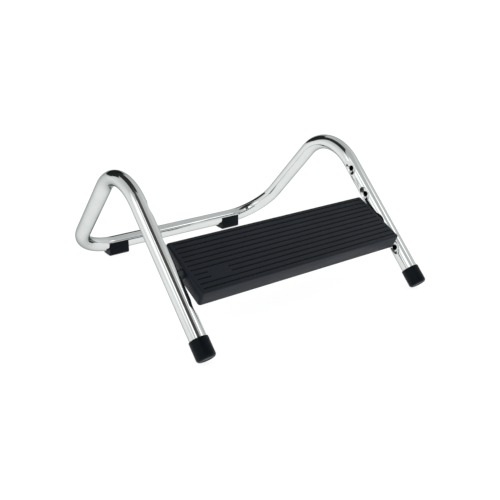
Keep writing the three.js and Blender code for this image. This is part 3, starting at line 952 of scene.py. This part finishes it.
def tread_grid():
    """Grid lines of the tread's top, close together at each groove's lips and ends."""
    sizes = bpy.context.scene.footrest_sizes
    half_x, half_y = PLATE_HALF[0] - sizes.edge_round, PLATE_HALF[1] - sizes.edge_round
    corner = PLATE_CORNER - sizes.edge_round
    cells = round((half_x - corner) / CELL_LENGTH)
    xs = {CELL_LENGTH * k for k in range(1 - cells, cells)}
    ys = set(GROOVES)
    for sign in (-1, 1):
        xs.update(sign * (half_x - corner + corner * k / 4) for k in range(5))
        ys.update(sign * (half_y - corner + corner * k / 4) for k in range(5))
        xs.update(sign * (PLATE_HALF[0] - GROOVE_END) + d for d in GROOVE_GRID)
        xs.update(PAD_X + sign * PAD_HALF_LENGTH + d for d in GROOVE_GRID)
        for middle in GROOVES:
            ys.update(middle + sign * (sizes.groove_width / 2 + d) for d in GROOVE_GRID)
            ys.add(middle + sign * GROOVE_PITCH / 2)
    return thinned(xs, half_x), thinned(ys, half_y), half_x, half_y, corner


class FOOTREST_OT_tread(bpy.types.Operator):
    """Mould the ribbed tread with its grooves, plain pad, rounded edges and pin bores"""

    bl_idname = "footrest.tread"
    bl_label = "Ribbed Tread"

    def execute(self, context):
        sizes = context.scene.footrest_sizes
        xs, ys, half_x, half_y, corner = tread_grid()
        nx, ny = len(xs), len(ys)

        def snapped(x, y):
            """A border point moved on to the round corner, with its outward direction."""
            over_x, over_y = abs(x) - (half_x - corner), abs(y) - (half_y - corner)
            sx, sy = math.copysign(1, x), math.copysign(1, y)
            if over_x > 1e-6 and over_y > 1e-6:
                if over_y >= over_x:
                    angle = math.pi / 2 - math.pi / 4 * over_x / corner
                else:
                    angle = math.pi / 4 * over_y / corner
                out = Vector((sx * math.cos(angle), sy * math.sin(angle)))
                return Vector((sx * (half_x - corner), sy * (half_y - corner))) + out * corner, out
            if over_x > over_y:
                return Vector((x, y)), Vector((sx, 0))
            return Vector((x, y)), Vector((0, sy))

        points, faces = [], []
        border = [(i, 0) for i in range(nx - 1)] + [(nx - 1, j) for j in range(ny - 1)]
        border += [(i, ny - 1) for i in range(nx - 1, 0, -1)] + [(0, j) for j in range(ny - 1, 0, -1)]
        on_border = {(i, j): snapped(xs[i], ys[j]) for i, j in border}
        for j in range(ny):
            for i in range(nx):
                if (i, j) in on_border:
                    p = on_border[(i, j)][0]
                    points.append((p.x, p.y, PLATE_TOP))
                else:
                    z = PLATE_TOP - sizes.groove_depth * tread_height(xs[i], ys[j])
                    points.append((xs[i], ys[j], z))
        for j in range(ny - 1):
            for i in range(nx - 1):
                a = j * nx + i
                faces.append([a, a + 1, a + nx + 1, a + nx])
        rings = [[j * nx + i for i, j in border]]

        def ring(offset, z):
            """A ring of points round the border, moved outward and set at a height."""
            made = []
            for key in border:
                p, out = on_border[key]
                made.append(len(points))
                points.append((p.x + out.x * offset, p.y + out.y * offset, z))
            rings.append(made)

        edge, top_steps, foot_steps = sizes.edge_round, 8, 4
        for k in range(1, top_steps + 1):
            a = math.pi / 2 * k / top_steps
            ring(edge * math.sin(a), PLATE_TOP - edge * (1 - math.cos(a)))
        for k in range(foot_steps + 1):
            a = math.pi / 2 * k / foot_steps
            ring(edge - PLATE_FOOT_EDGE * (1 - math.cos(a)),
                 PLATE_BOTTOM + PLATE_FOOT_EDGE * (1 - math.sin(a)))
        inner = edge - PLATE_WALL
        ring(inner + 0.4, PLATE_BOTTOM)
        ring(inner + 0.1, PLATE_BOTTOM + 0.1)
        ring(inner, PLATE_BOTTOM + 0.4)
        ring(inner, PLATE_TOP - PLATE_WALL)
        faces += quads_between(rings) + [rings[-1]]
        tread = solid("ribbed_tread", points, faces, footplate_matrix())
        place = (Matrix.Diagonal((MM, MM, MM, 1)) @ footplate_matrix()).inverted()
        # Each point's share of the groove depth, kept on the mesh to paint shade into the grooves.
        shares = []
        for v in tread.data.vertices:
            p = place @ v.co
            shares.append(tread_height(p.x, p.y) if p.z > PLATE_TOP - sizes.groove_depth - 0.1 else 0.0)
        tread.data.attributes.new(GROOVE_SHADE_MASK, "FLOAT", "POINT").data.foreach_set("value", shares)
        mouth, beyond = BORE + BORE_CHAMFER, BORE_MOUTH + 1.5
        profile = rounded([(0, BORE_START, 0), (BORE, BORE_START, 0), (BORE, BORE_MOUTH - 0.6, 0.2),
                           (mouth, BORE_MOUTH, 0), (mouth, beyond, 0), (0, beyond, 0)])
        cut(tread, *(turned(f"bore_{word}", profile, 64, pin_matrix(side)) for side, word in SIDES))
        fit(tread, "tread_rubber", "footplate", "tread_cover", crease=50)
        return {"FINISHED"}


def cover_screw_places():
    """Screw places in the order of the CAD nodes, found from their boxes."""
    inverse = footplate_matrix().inverted()
    places = []
    for i in range(COVER_SCREW_COUNT):
        low, high = mm_box(f"cover_screw_{i + 1}")
        p = inverse @ ((low + high) / 2)
        places.append((p.x, math.copysign(COVER_SCREW_Y, p.y)))
    return places


class FOOTREST_OT_base(bpy.types.Operator):
    """Make the closing cover under the footplate and the cover's screws, and give the core above it its
    finish
    """

    bl_idname = "footrest.base"
    bl_label = "Core, Cover and Screws"

    def execute(self, context):
        place = footplate_matrix()
        core = frame["nodes"]["support_core"]
        core.data.materials.clear()
        core.data.materials.append(finish_named("black_plastic"))
        outline = rounded_rectangle(*CORE_HALF, CORE_CORNER)
        cover = slab("closing_cover", outline, COVER_LOW, COVER_HIGH, COVER_EDGE, place)
        below, floor, above = COVER_LOW - 1, COVER_LOW + 1, COVER_HIGH + 1
        hole = rounded([(0, below, 0), (COVER_SINK + 0.4, below, 0), (COVER_SINK + 0.4, COVER_LOW, 0),
                        (COVER_SINK, COVER_LOW + 0.35, 0.1), (COVER_SINK, floor, 0.1), (COVER_HOLE, floor, 0),
                        (COVER_HOLE, above, 0), (0, above, 0)])
        screws = cover_screw_places()
        cut(cover, *(turned("hole", hole, 36, place @ shifted(x, y, 0)) for x, y in screws))
        fit(cover, "black_plastic", "footplate", "base_cover")
        for i, (x, y) in enumerate(screws, 1):
            screw = driven_screw(f"cover_fixing_{i}", place @ shifted(x, y, COVER_LOW), **COVER_SCREW)
            fit(screw, "steel", "footplate", f"cover_screw_{i}")
        return {"FINISHED"}


# ---------------------------------------------------------------- sprung pins


# Places along a pin are distances from the middle of the footplate.
PIN_RADIUS = 6.5
SHANK_RADIUS = 3
NOSE_X = 191.1
HEAD_BACK_X = 172.1
SPRING_SEAT_X = 151.1
TAIL_X = 141.1
CLIP_GROOVE = (144.3, 146.1)
CLIP_GROOVE_RADIUS = 2.2

SPRING_TURNS = 6
SPRING_WIRE = 0.5
SPRING_RADIUS = 5.1
SPRING_GAP = 0.3
POINTS_PER_TURN = 36

CLIP_X = 144.6
CLIP_THICKNESS = 1.2
CLIP_OUTER = 5
CLIP_INNER = 2.5
CLIP_RELIEF = 0.9
CLIP_OPENING = math.radians(34)
CLIP_INNER_OPENING = math.radians(52)


def pin_matrix(side):
    """From a pin that points up Z to its place in the footplate."""
    return footplate_matrix() @ Matrix.Rotation(side * math.pi / 2, 4, "Y")


def arc(centre, radius, start, end, steps):
    """Points round a centre from one angle to another."""
    angles = [start + (end - start) * k / steps for k in range(steps + 1)]
    return [(centre[0] + radius * math.cos(a), centre[1] + radius * math.sin(a)) for a in angles]


class FOOTREST_OT_pins(bpy.types.Operator):
    """Turn the two round-nosed pivot pins"""

    bl_idname = "footrest.pins"
    bl_label = "Pivot Pins"

    def execute(self, context):
        low, high = CLIP_GROOVE
        body = rounded([(0, TAIL_X, 0), (SHANK_RADIUS, TAIL_X, 0.5), (SHANK_RADIUS, low, 0.1),
                        (CLIP_GROOVE_RADIUS, low, 0.1), (CLIP_GROOVE_RADIUS, high, 0.1),
                        (SHANK_RADIUS, high, 0.1), (SHANK_RADIUS, HEAD_BACK_X, 0.2),
                        (PIN_RADIUS, HEAD_BACK_X, 0.5), (PIN_RADIUS, NOSE_X, 0)], 4)
        nose = arc((0, NOSE_X), PIN_RADIUS, 0, math.pi / 2, 14)[1:]
        for side, word in SIDES:
            pin = turned(f"round_nosed_pin_{word}", [tuple(p) for p in body] + nose, 64, pin_matrix(side))
            fit(pin, "pin_plastic", f"{word}_pin", f"pivot_pin_{word}")
        return {"FINISHED"}


class FOOTREST_OT_springs(bpy.types.Operator):
    """Wind the two pin springs, with closed end turns, attached to neither body"""

    bl_idname = "footrest.springs"
    bl_label = "Pin Springs"

    def execute(self, context):
        start = SPRING_SEAT_X + SPRING_GAP + SPRING_WIRE
        end = HEAD_BACK_X - SPRING_GAP - SPRING_WIRE
        first = SPRING_WIRE * 2 / (end - start)

        def rise(t):
            """Share of the spring's length reached at a share of its turns."""
            if t < 1 / SPRING_TURNS:
                return first * t * SPRING_TURNS
            if t > 1 - 1 / SPRING_TURNS:
                return 1 - first * (1 - t) * SPRING_TURNS
            return first + (1 - 2 * first) * (t - 1 / SPRING_TURNS) / (1 - 2 / SPRING_TURNS)

        count = SPRING_TURNS * POINTS_PER_TURN
        circle = arc((0, 0), SPRING_RADIUS, 0, 2 * math.pi * SPRING_TURNS, count)
        centres = [(x, y, start + (end - start) * rise(k / count)) for k, (x, y) in enumerate(circle)]
        for side, word in SIDES:
            place = pin_matrix(side)
            spring = swept(f"coil_{word}", centres, SPRING_WIRE, 14, place)
            fit(spring, "steel", None, f"pin_spring_{word}")
            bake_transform(spring)
        return {"FINISHED"}


class FOOTREST_OT_clips(bpy.types.Operator):
    """Stamp the two open retaining clips on the pins' shanks"""

    bl_idname = "footrest.clips"
    bl_label = "Retaining Clips"

    def execute(self, context):
        outline = arc((0, 0), CLIP_OUTER, CLIP_OPENING, 2 * math.pi - CLIP_OPENING, 48)
        for x, y in arc((0, 0), CLIP_INNER, 2 * math.pi - CLIP_INNER_OPENING, CLIP_INNER_OPENING, 72):
            lug = math.cos(1.5 * math.atan2(-y, -x)) ** 2
            share = (CLIP_INNER + CLIP_RELIEF * (1 - lug)) / CLIP_INNER
            outline.append((x * share, y * share))
        for side, word in SIDES:
            clip = slab(f"open_clip_{word}", outline, CLIP_X, CLIP_X + CLIP_THICKNESS, 0.12, pin_matrix(side))
            fit(clip, "steel", f"{word}_pin", f"retaining_clip_{word}")
        return {"FINISHED"}


# ---------------------------------------------------------------- studio


AIM = (0, 0, 0.1)
FLOOR_GLOW = 0.89
SKY_BANDS = ((0.0, 0.98), (0.14, 0.95), (0.34, 0.82), (1.0, 0.56))
KEY_PLACE = (-1.3, -1.3, 1.9)
KEY_WATTS = 4
KEY_SIZE = 1.2
LENS = 50.52
SENSOR = 36
CAMERA_TARGET = (0, -0.0355, 0.0561)
CAMERA_TURN = math.radians(-35.88)
CAMERA_RISE = math.radians(21.67)
CAMERA_DISTANCE = 1.155


class FOOTREST_OT_stage(bpy.types.Operator):
    """Lay the pale floor, light it softly and set up the camera"""

    bl_idname = "footrest.stage"
    bl_label = "Studio"

    def panel(self, name, centre, width, height, brightness, soft=0.0, axes=None, colour=(1, 1, 1)):
        """A card seen only in reflections, bright or dark, facing the object or set on two given axes."""
        mesh = bpy.data.meshes.new(name)
        w, h = width / 2, height / 2
        mesh.from_pydata([(-w, -h, 0), (w, -h, 0), (w, h, 0), (-w, h, 0)], [], [(0, 1, 2, 3)])
        card = bpy.data.objects.new(name, mesh)
        bpy.context.scene.collection.objects.link(card)
        if axes is None:
            turn = (Vector(centre) - Vector(AIM)).to_track_quat("Z", "Y").to_matrix()
        else:
            across, along = (Vector(a).normalized() for a in axes)
            turn = Matrix((across, along, across.cross(along))).transposed()
        card.matrix_world = Matrix.Translation(centre) @ turn.to_4x4()
        surface = Finish(name)
        surface.set(specular=0.0)
        surface.shader.inputs["Base Color"].default_value = (0, 0, 0, 1)
        surface.shader.inputs["Emission Color"].default_value = (*colour, 1)
        surface.shader.inputs["Emission Strength"].default_value = brightness
        if soft:
            parts = surface.tree.nodes.new("ShaderNodeSeparateXYZ")
            surface.link(surface.coords, parts.inputs["Vector"])
            fades = []
            for out, half in ((parts.outputs["X"], w), (parts.outputs["Y"], h)):
                size = surface.tree.nodes.new("ShaderNodeMath")
                size.operation = "ABSOLUTE"
                surface.link(out, size.inputs[0])
                fades.append(surface.level(size.outputs["Value"], 1.0, 0.0, half - soft, half))
            surface.link(surface.combine(*fades, "MULTIPLY"), surface.shader.inputs["Alpha"])
        mesh.materials.append(surface.material)
        card.visible_camera = False
        card.visible_diffuse = brightness > 0.5
        card.visible_shadow = False

    def floor(self):
        """The pale paper floor, with a little light of its own."""
        bm = bmesh.new()
        bmesh.ops.create_grid(bm, x_segments=32, y_segments=32, size=25)
        mesh = bpy.data.meshes.new("studio_floor")
        bm.to_mesh(mesh)
        bm.free()
        floor = bpy.data.objects.new("studio_floor", mesh)
        bpy.context.scene.collection.objects.link(floor)
        colour = bpy.context.scene.footrest_colours.floor
        paper = Finish("Studio floor")
        paper.set(specular=0.0)
        grain = paper.noise(scale=30, detail=5, roughness=0.6)
        paper.link(paper.tint(grain, shade(colour, 0.97), colour), paper.shader.inputs["Base Color"])
        paper.link(paper.level(grain, 0.85, 0.95), paper.shader.inputs["Roughness"])
        paper.shader.inputs["Emission Color"].default_value = (1, 1, 1, 1)
        paper.shader.inputs["Emission Strength"].default_value = FLOOR_GLOW
        mesh.materials.append(paper.material)

    def sky(self):
        """A world that dims from its horizon to its top."""
        world = bpy.data.worlds.new("Studio")
        bpy.context.scene.world = world
        world.use_nodes = True
        tree = world.node_tree
        direction = tree.nodes.new("ShaderNodeTexCoord")
        parts = tree.nodes.new("ShaderNodeSeparateXYZ")
        ramp = tree.nodes.new("ShaderNodeValToRGB")
        tree.links.new(direction.outputs["Generated"], parts.inputs["Vector"])
        tree.links.new(parts.outputs["Z"], ramp.inputs["Fac"])
        tree.links.new(ramp.outputs["Color"], tree.nodes["Background"].inputs["Color"])
        while len(ramp.color_ramp.elements) < len(SKY_BANDS):
            ramp.color_ramp.elements.new(0.5)
        for element, (height, bright) in zip(ramp.color_ramp.elements, SKY_BANDS):
            element.position = height
            element.color = (bright * 0.97, bright * 0.99, bright, 1)

    def cards(self):
        """Softboxes that put light bands on the chrome, and flags that put dark ones."""
        across_leg = (-0.651, -0.533, 0.541)
        self.panel("left_softbox", (-2.2, 0.3, 0.7), 2.4, 1.3, 0.95, 0.3)
        self.panel("upper_left_softbox", (-1.71, -0.07, 1.1), 1.0, 1.1, 1.4, 0.2)
        self.panel("edge_softbox", (1.15, -0.97, 1.5), 0.7, 0.5, 1.8, 0.1)
        self.panel("right_softbox", (1.7, -0.1, 1.25), 1.5, 1.0, 0.8, 0.25)
        self.panel("leg_flag", (-0.501, -0.448, 0.941), 1.127, 0.95, 0.085, 0.03,
                   (across_leg, leg_frame()[1]), (1.0, 0.93, 0.88))
        self.panel("back_flag", (-0.1, 2.2, 1.14), 2.5, 1.55, 0.02, 0.1)
        self.panel("crown_flag", (-0.16, 0.42, 0.95), 0.72, 1.1, 0.03, 0.06, ((1, 0, 0), (0, 1, 0)))
        self.panel("low_flag", (0.66, -1.35, 1.1), 1.4, 0.38, 0.18, 0.05)

    def key_lamp(self):
        """A large soft lamp from the upper left."""
        key = bpy.data.lights.new("key", "AREA")
        key.energy = KEY_WATTS
        key.size = KEY_SIZE
        lamp = bpy.data.objects.new("key", key)
        lamp.location = KEY_PLACE
        lamp.rotation_euler = (Vector(KEY_PLACE) - Vector(AIM)).to_track_quat("Z", "Y").to_euler()
        lamp.visible_camera = False
        bpy.context.scene.collection.objects.link(lamp)

    def camera(self):
        """The camera, turned and raised round the point it looks at."""
        camera = bpy.data.cameras.new("camera")
        camera.lens = LENS
        camera.sensor_width = SENSOR
        holder = bpy.data.objects.new("camera", camera)
        bpy.context.scene.collection.objects.link(holder)
        level = math.cos(CAMERA_RISE)
        back = Vector((math.sin(CAMERA_TURN) * level, -math.cos(CAMERA_TURN) * level, math.sin(CAMERA_RISE)))
        holder.location = Vector(CAMERA_TARGET) + back * CAMERA_DISTANCE
        holder.rotation_mode = "QUATERNION"
        holder.rotation_quaternion = back.to_track_quat("Z", "Y")
        bpy.context.scene.camera = holder

    def execute(self, context):
        context.scene.view_settings.view_transform = "Standard"
        self.floor()
        self.sky()
        self.cards()
        self.key_lamp()
        self.camera()
        return {"FINISHED"}


class FOOTREST_PT_panel(bpy.types.Panel):
    """Lists the footrest's pieces, sizes and colours"""

    bl_idname = "FOOTREST_PT_panel"
    bl_label = "Footrest"
    bl_space_type = "VIEW_3D"
    bl_region_type = "UI"
    bl_category = "Footrest"

    def draw(self, context):
        layout = self.layout
        for operator in OPERATORS:
            layout.operator(operator.bl_idname)
        for group in (context.scene.footrest_sizes, context.scene.footrest_colours):
            box = layout.box()
            for name in group.bl_rna.properties.keys():
                if name not in ("rna_type", "name"):
                    box.prop(group, name)


OPERATORS = (FOOTREST_OT_tube, FOOTREST_OT_ferrules, FOOTREST_OT_glides, FOOTREST_OT_tread,
             FOOTREST_OT_base, FOOTREST_OT_pins, FOOTREST_OT_springs, FOOTREST_OT_clips, FOOTREST_OT_stage)
CLASSES = (FootrestSizes, FootrestColours, *OPERATORS, FOOTREST_PT_panel)


def register():
    for cls in CLASSES:
        bpy.utils.register_class(cls)
    bpy.types.Scene.footrest_sizes = bpy.props.PointerProperty(type=FootrestSizes)
    bpy.types.Scene.footrest_colours = bpy.props.PointerProperty(type=FootrestColours)


def unregister():
    del bpy.types.Scene.footrest_colours
    del bpy.types.Scene.footrest_sizes
    for cls in reversed(CLASSES):
        bpy.utils.unregister_class(cls)


def main():
    register()
    bpy.ops.footrest.tube()
    bpy.ops.footrest.ferrules()
    bpy.ops.footrest.glides()
    bpy.ops.footrest.tread()
    bpy.ops.footrest.base()
    bpy.ops.footrest.pins()
    bpy.ops.footrest.springs()
    bpy.ops.footrest.clips()
    bpy.ops.footrest.stage()


if __name__ == "__main__":
    main()
